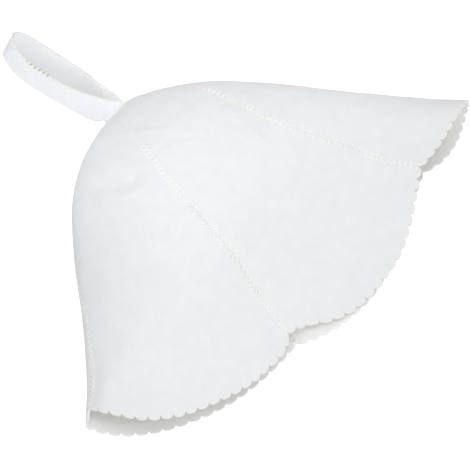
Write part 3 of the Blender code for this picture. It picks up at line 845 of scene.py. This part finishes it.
def thread_piece(name, runs, radius, thread):
    """One mesh of round threads, one thread for each run of points."""
    line = bpy.data.curves.new(name, "CURVE")
    line.dimensions = "3D"
    line.bevel_depth = radius
    line.bevel_resolution = 1
    for run in runs:
        spline = line.splines.new("POLY")
        spline.points.add(len(run) - 1)
        spline.points.foreach_set("co", np.column_stack([run, np.ones(len(run))]).ravel())
    drawn = bpy.data.objects.new(name + "_line", line)
    bpy.context.scene.collection.objects.link(drawn)
    evaluated = drawn.evaluated_get(bpy.context.evaluated_depsgraph_get())
    mesh = bpy.data.meshes.new_from_object(evaluated)
    bpy.data.objects.remove(drawn)
    bpy.data.curves.remove(line)
    mesh.name = name
    mesh.materials.clear()
    piece = new_object(name, mesh, thread)
    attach(piece, "root")
    return piece


# %% Stitches of one seam
RUN_POINTS = 7          # points along one stitch
STITCH_START = 0.016    # from the crown slot to a seam's first stitch
STITCH_END = 0.001      # bare felt left at the brim
STITCH_DEPTH = 0.0013   # how deep in the felt a stitch ends
STITCH_ARCH = 0.0014    # how high it rises from there
CROSSING = 0.0003       # how much higher it passes over the other thread
SUNK = 0.00055          # how much lower the threads lie near the crown
RISEN = {"seam_1": 0.030, "seam_2": 0.050, "seam_3": 0.095, "seam_4": 0.030, "seam_5": 0.030}
RISING = 0.02           # from RISEN on, the way over which they come up


def seam_runs(seam, outside):
    """The crossing stitches over a seam, on the hat's outer or inner face."""
    pitch, half = STITCH / 1000, STITCH_BAND / 2000
    count = int((SEAM_LENGTH - STITCH_END - STITCH_START) / pitch)
    share = np.linspace(0, 1, RUN_POINTS)
    arch = np.sin(share * math.pi)
    runs = []
    for k in range(count):
        for side in (1, -1):
            along = (math.ceil(STITCH_START / pitch) + k + share) * pitch / SEAM_LENGTH
            across = side * (2 * share - 1) * half
            around = seam_place(along, seam) + across / girth(along)
            points = read_rings(ring_points, along, around)
            out = read_rings(ring_normals, along, around)
            over = CROSSING if side > 0 else 0.0
            rise = -STITCH_DEPTH + STITCH_ARCH * arch ** 0.35 + over * arch ** 2
            rise = rise - SUNK * (1 - ease((along * SEAM_LENGTH - RISEN[seam]) / RISING))
            height = rise if outside else -FELT - rise
            thread = points + out * height[:, None]
            thread[:, 2] = np.maximum(thread[:, 2], THREAD_RADIUS)
            runs.append(thread)
    return runs


for number, seam in enumerate(SEAM_COLUMNS[1:], 1):
    runs = seam_runs(seam, True) + seam_runs(seam, False)
    piece = thread_piece("seam_stitches_%d" % number, runs, THREAD_RADIUS, cream_thread)
    print(piece.name, "stitches:", len(runs), "faces:", len(piece.data.polygons))

# %% [markdown]
# ## Hanging loop
#
# The loop is a strip of thin felt folded double along its length. One long edge
# is the fold, the other is the two cut edges, overlocked with unbleached thread.
# The strap leans outwards on its folded edge, and its two tails lie flat on each
# other in the crown slot. Its section is carried along the path of its middle
# line: a row of the table says where the middle is, how high it is lifted off the
# table, how steeply the strap is tilted there, and which tail lies on top.

# %% Path of the strap
STRAP_COLUMNS = ("ahead", "side", "lift", "tilt", "tier")
STRAP_PATH = (
    (0.015, 0.000, 1.00, 0.0, 1.0),
    (0.058, -0.040, 0.83, 20.0, 0.8),
    (0.115, -0.060, 0.65, 34.0, 0.6),
    (0.240, -0.087, 0.36, 51.0, 0.0),
    (0.355, -0.114, 0.20, 59.0, 0.0),
    (0.470, -0.138, 0.10, 63.0, 0.0),
    (0.605, -0.165, 0.04, 63.0, 0.0),
    (0.730, -0.187, 0.03, 62.0, 0.0),
    (0.850, -0.188, 0.09, 60.0, 0.0),
    (0.935, -0.166, 0.15, 55.0, 0.0),
    (0.974, -0.122, 0.08, 50.0, 0.0),
    (0.930, -0.077, 0.02, 50.0, 0.0),
    (0.780, -0.036, 0.00, 52.0, 0.0),
    (0.605, -0.002, 0.00, 53.0, 0.0),
    (0.420, 0.028, 0.06, 54.0, 0.0),
    (0.250, 0.020, 0.31, 51.0, 0.0),
    (0.120, 0.008, 0.68, 27.0, -0.6),
    (0.015, 0.000, 1.00, 0.0, -1.0),
)
STATIONS_PER_STEP = 12  # sections from one row of the path to the next
TAIL_STATIONS = 6       # sections along each tail
TAIL_START = 0.001      # from the path's end to the nearest of them
STRAP_REST_GAP = 0.0004  # between the strap's lowest line and the table


def strap_stations():
    """Middle, width direction and thickness direction of the strap, tail to tail."""
    rows = len(STRAP_PATH)
    steps = np.linspace(0, rows - 1, (rows - 1) * STATIONS_PER_STEP + 1)
    columns = table(STRAP_COLUMNS, STRAP_PATH)
    places = np.arange(rows, dtype=float)
    read = {name: curve(places, columns[name], steps) for name in STRAP_COLUMNS}
    tilt = np.radians(read["tilt"])
    lying = STRAP / 2 * np.cos(tilt) + LOOP_WIDTH / 2 * np.sin(tilt) + STRAP_REST_GAP
    slot_rise = SECTION["crest"][0] * CROWN_HEIGHT - STRAP / 2 - STRAP_REST_GAP
    height = lying + np.clip(read["lift"], 0, 1) * slot_rise + read["tier"] * (STRAP + TAIL_GAP) / 2
    middle = np.stack([read["side"] * LOOP_REACH, read["ahead"] * LOOP_REACH, height], axis=-1)
    width = np.stack([np.cos(tilt), np.zeros_like(tilt), np.sin(tilt)], axis=-1)
    run = np.gradient(middle, axis=0)
    run[0], run[-1] = (0, 1, 0), (0, -1, 0)
    back = np.linspace(TAIL_LENGTH + FELT, TAIL_START, TAIL_STATIONS)
    tail = back[:, None] * np.array((0.0, 1.0, 0.0))
    middle = np.concatenate([middle[0] - tail, middle, middle[-1] - tail[::-1]])
    ends = ((TAIL_STATIONS, TAIL_STATIONS), (0, 0))
    width, run = np.pad(width, ends, mode="edge"), np.pad(run, ends, mode="edge")
    run /= np.linalg.norm(run, axis=1)[:, None]
    through = np.cross(run, width)
    through /= np.linalg.norm(through, axis=1)[:, None]
    return middle + (SLOT_SIDE, SLOT_AHEAD, 0.0), width, through


strap_middle, strap_width, strap_through = strap_stations()
strap_way = way_along(strap_middle)
print("strap's length in mm, tails and all:", round(1000 * strap_way[-1]))

# %% Section of the strap
FOLD_CORNERS = 9                    # points round the fold
INSETS = (0.0003, 0.0012, 0.004)    # corners of the section beside the cut edge, in from it
SLIT_DEPTH = 0.0015                 # the slit between the two layers is drawn this deep
SLIT_HALF = (0.0002, 0.00005)       # half its height at the cut edge, and at its end


def strap_profile():
    """The folded strip's section, across and through: a round fold, and two cut edges."""
    half, thick = LOOP_WIDTH / 2, STRAP / 2
    turns = np.radians(np.linspace(90, 270, FOLD_CORNERS))
    fold = [(-half + thick + thick * math.cos(a), thick * math.sin(a)) for a in turns]
    tops = [(half - inset, thick) for inset in INSETS] + [(0.0, thick), (-half + INSETS[-1], thick)]
    lows = [(x, -y) for x, y in tops[::-1]]
    cut = [(half, -thick + INSETS[0]), (half, -SLIT_HALF[0]), (half - SLIT_DEPTH, -SLIT_HALF[1])]
    cut += [(x, -y) for x, y in cut[::-1]]
    return np.array(tops + fold + lows + cut)


profile = strap_profile()
print("corners of the section:", len(profile))


# %% The strap
def strap_sweep(bm):
    """The section carried along the path, with each point's places for the strap's maps."""
    names = ("down", "in_from_edge", "inner")
    down, in_from_edge, inner = (bm.verts.layers.float.new(name) for name in names)
    bmesh.ops.create_grid(bm, x_segments=len(profile), y_segments=len(strap_way) - 1, size=0.5)
    for vert in bm.verts:
        corner = round((vert.co.x + 0.5) * len(profile)) % len(profile)
        station = round((vert.co.y + 0.5) * (len(strap_way) - 1))
        across, depth = profile[corner]
        vert.co = (strap_middle[station] + across * strap_width[station]
                   + depth * strap_through[station])
        vert[down], vert[in_from_edge] = strap_way[station] * 1000, (LOOP_WIDTH / 2 - across) * 1000
        vert[inner] = max(0.0, depth / (STRAP / 2))
    bmesh.ops.remove_doubles(bm, verts=bm.verts[:], dist=1e-6)
    return down, in_from_edge, inner


def loop_piece():
    """The strap of the loop, with closed ends."""
    bm = bmesh.new()
    down, in_from_edge, inner = strap_sweep(bm)
    place, side = bm.loops.layers.uv.new("strap_mm"), bm.loops.layers.uv.new("strap_side")
    for face in bm.faces:
        for corner in face.loops:
            corner[place].uv = corner.vert[down], corner.vert[in_from_edge]
            corner[side].uv = corner.vert[inner], 0.0
    bmesh.ops.holes_fill(bm, edges=[edge for edge in bm.edges if edge.is_boundary], sides=0)
    bmesh.ops.recalc_face_normals(bm, faces=bm.faces[:])
    piece = new_object("hanging_loop_felt", mesh_from(bm, "hanging_loop_felt"), strap_felt_painted_paler)
    piece.data.set_sharp_from_angle(angle=math.radians(60))
    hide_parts("hanging_loop")
    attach(piece, "root")
    return piece


loop = loop_piece()
print(loop.name, "faces:", len(loop.data.polygons))

# %% [markdown]
# ## Overlock stitches
#
# The thread dips into the felt a little way in from the strap's cut edge, slants
# over the edge to the other face and dips in there. The next one slants back, so
# the two make a zigzag. Half of one stitch is a short table, and the other half
# mirrors it. It follows the strap's path, so the stitches bend with the strap.

# %% Overlock thread round the strap's cut edge
OVERLOCK_RADIUS = 0.00026
OVERLOCK_BITE = 0.0022      # how far in from the cut edge the needle goes
OVERLOCK_START = 0.003      # from the gores' felt to the first stitch
OVERLOCK_OUT = 0.0003       # how far past the cut edge a stitch's middle lies
# Half a stitch: how far in from the cut edge, and how far out from the strap's face
OVERLOCK_WRAP = ((OVERLOCK_BITE, -0.0006), (OVERLOCK_BITE - 0.0004, 0.0002),
                 (0.0010, 0.00025), (-0.0002, -0.00042))


def strap_place(distance, across, depth):
    """A place on the strap: along it, across it and through it."""
    middle, width, through = (
        np.array([np.interp(distance, strap_way, grid[:, axis]) for axis in range(3)])
        for grid in (strap_middle, strap_width, strap_through))
    return middle + across * width + depth * through


def overlock_runs():
    """Slanting stitches that wrap the cut edge, there and back."""
    half, thick = LOOP_WIDTH / 2, STRAP / 2
    wrap = [(half - inset, thick + out) for inset, out in OVERLOCK_WRAP]
    edge = wrap + [(half + OVERLOCK_OUT, 0.0)] + [(across, -depth) for across, depth in wrap[::-1]]
    pitch = OVERLOCK / 1000
    bare = TAIL_LENGTH + FELT + OVERLOCK_START
    start = math.ceil(bare / pitch) * pitch
    slant = np.linspace(0, 0.5, len(edge)) * pitch
    runs = []
    for k in range(int((strap_way[-1] - bare - start) / pitch)):
        base = start + k * pitch
        for ways in (base + slant, base + pitch - slant):
            runs.append(np.array([strap_place(way, *place) for way, place in zip(ways, edge)]))
    return runs


runs = overlock_runs()
overlock = thread_piece("loop_overlock", runs, OVERLOCK_RADIUS, overlock_thread)
print(overlock.name, "stitches:", len(runs))

# %% [markdown]
# ## Table and light
#
# The hat lies on a light table, a sheet of white acrylic lit from below, which
# gives a plain white ground with hardly a shadow. The white cloth of a tent round
# it gives most of the light, a little more from the mouth's side. Softboxes lift
# the crown and the hat's left, and one behind a grid lights the strap alone.

# %% Light table
TABLE_HALF = 9.0        # metres from its middle to a side, so that no horizon shows from low down

acrylic = new_material("opal acrylic sheet, lit from below", {
    "Base Color": colour("#FFFFFF"), "Roughness": 0.6,
    "Emission Color": colour("#FFFFFF"), "Emission Strength": 0.5})[0]
bm = bmesh.new()
bmesh.ops.create_grid(bm, x_segments=1, y_segments=1, size=TABLE_HALF)
table_top = new_object("light_table", mesh_from(bm, "light_table"), acrylic)
table_top.visible_diffuse = False
print(table_top.name, "is", 2 * TABLE_HALF, "m wide")

# %% Room light
BRIGHT_SIDE = (0.55, -1.0, 0.0)     # towards the mouth and the rounded fold
TENT_LIGHT = (0.60, 1.04)           # strength where the dot product with it is -1, and 1
LOW_LIGHT = 0.8                     # share that is left below the table's level

bpy.context.scene.view_settings.view_transform = "Standard"
room = bpy.data.worlds.new("white light tent")
room.use_nodes = True
tree = room.node_tree
background = tree.nodes["Background"]
direction = add_node(tree, "TexCoord").outputs["Generated"]
brighter = add_node(tree, "VectorMath", {1: BRIGHT_SIDE}, {0: direction},
                    operation="DOT_PRODUCT").outputs["Value"]
cloth = add_node(tree, "MapRange",
                 {"From Min": -1.0, "From Max": 1.0,
                  "To Min": TENT_LIGHT[0], "To Max": TENT_LIGHT[1]}, {"Value": brighter})
height = add_node(tree, "SeparateXYZ", links={"Vector": direction}).outputs["Z"]
above = add_node(tree, "MapRange",
                 {"From Min": -0.1, "From Max": 0.1, "To Min": LOW_LIGHT, "To Max": 1.0},
                 {"Value": height}, interpolation_type="SMOOTHSTEP")
strength = add_node(tree, "Math", operation="MULTIPLY",
                    links={0: cloth.outputs["Result"], 1: above.outputs["Result"]})
tree.links.new(strength.outputs[0], background.inputs["Strength"])
background.inputs["Color"].default_value = colour("#FFFFFF")
bpy.context.scene.world = room
print(room.name, "nodes:", len(tree.nodes))


# %% Softboxes
def soft_light(name, aim, azimuth, elevation, distance, size, power, spread=180):
    """A square area light that looks at a point on the hat. Its angles are in degrees."""
    light = bpy.data.lights.new(name, "AREA")
    light.shape = "SQUARE"
    light.size = size
    light.energy = power
    light.spread = math.radians(spread)
    back = towards(azimuth, elevation)
    lamp = bpy.data.objects.new(name, light)
    lamp.location = Vector(aim) + back * distance
    lamp.rotation_euler = back.to_track_quat("Z", "Y").to_euler()
    bpy.context.scene.collection.objects.link(lamp)
    return lamp


lamps = [
    soft_light("crown_softbox", (0.0, 0.05, 0.06),
               azimuth=-90, elevation=85, distance=0.40, size=0.28, power=0.34),
    soft_light("left_softbox", (-0.05, 0.1, 0.03),
               azimuth=-90, elevation=20, distance=1.0, size=0.7, power=0.65),
    soft_light("strap_softbox", (-0.03, 0.172, 0.018),
               azimuth=-97, elevation=14, distance=0.35, size=0.15, power=0.014, spread=40),
]
print("softboxes in watts:", {lamp.name: round(lamp.data.energy, 3) for lamp in lamps})
